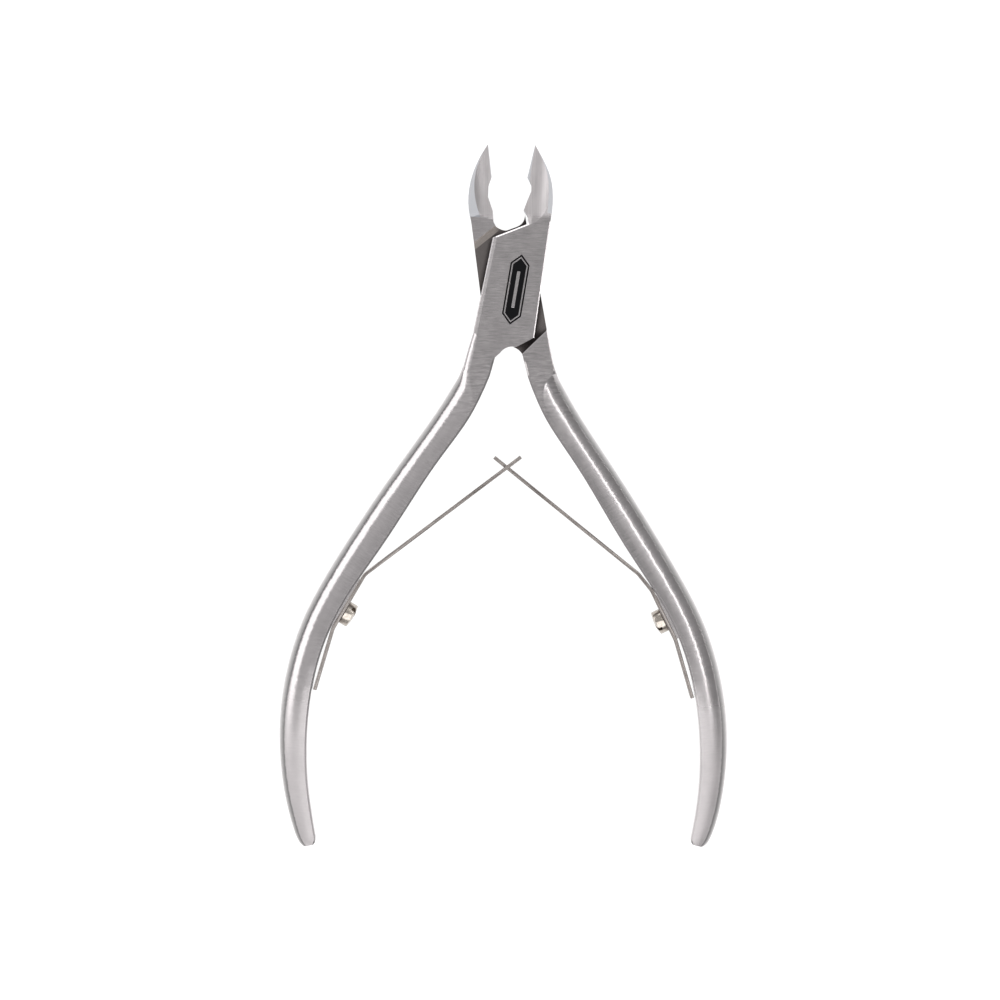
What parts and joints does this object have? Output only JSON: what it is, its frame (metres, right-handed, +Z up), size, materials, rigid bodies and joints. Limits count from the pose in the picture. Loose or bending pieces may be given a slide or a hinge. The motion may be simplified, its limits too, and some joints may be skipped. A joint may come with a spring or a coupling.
{
  "type": "cuticle nipper",
  "caption": "Lap-joint cuticle nipper with hollow-ground half jaws, rounded handles and crossed, interlocking leaf springs that hold it open.",
  "frame": {"origin": "on the pivot axis, at the rear lever's back face, which the nipper lies on", "axes": "+Y along the nipper's long axis from the handles to the jaws, +Z up from the back face to the front face along the pivot axis, +X to the right handle"},
  "size_m": [0.0653, 0.1029, 0.006],
  "materials": {
    "brushed_steel_levers": "satin brushed, with ground jaw faces",
    "rivet_steel": "ground flush",
    "spring_steel": "polished strip",
    "nickel_screws": "nickel plated"
  },
  "bodies": {
    "rear_half": {"rear_lever": "brushed_steel_levers", "right_leaf_base": "spring_steel", "right_screw": "nickel_screws"},
    "front_half": {"front_lever": "brushed_steel_levers", "pivot_rivet": "rivet_steel", "left_leaf_base": "spring_steel", "left_screw": "nickel_screws"},
    "left_spring_arm": {"left_leaf_arm": "spring_steel"},
    "right_spring_arm": {"right_leaf_arm": "spring_steel"}
  },
  "joints": [
    {"name": "lever_pivot", "type": "hinge", "parent": "rear_half", "child": "front_half", "pos_m": [0, 0, 0.003], "axis": [0, 0, 1], "range_deg": [0, 18.3], "stiffness_Nm_per_rad": 0.5, "springref_deg": -5.73},
    {"name": "left_spring_flex", "type": "hinge", "parent": "front_half", "child": "left_spring_arm", "pos_m": [-0.0206, -0.042, 0.003], "axis": [0, 0, 1], "range_deg": [0, 12.5]},
    {"name": "right_spring_flex", "type": "hinge", "parent": "rear_half", "child": "right_spring_arm", "pos_m": [0.0193, -0.0413, 0.003], "axis": [0, 0, 1], "range_deg": [-13.5, 0]}
  ],
  "couplings": [
    {"joint": "left_spring_flex", "follows": "lever_pivot", "ratio": 0.62},
    {"joint": "right_spring_flex", "follows": "lever_pivot", "ratio": -0.66}
  ]
}
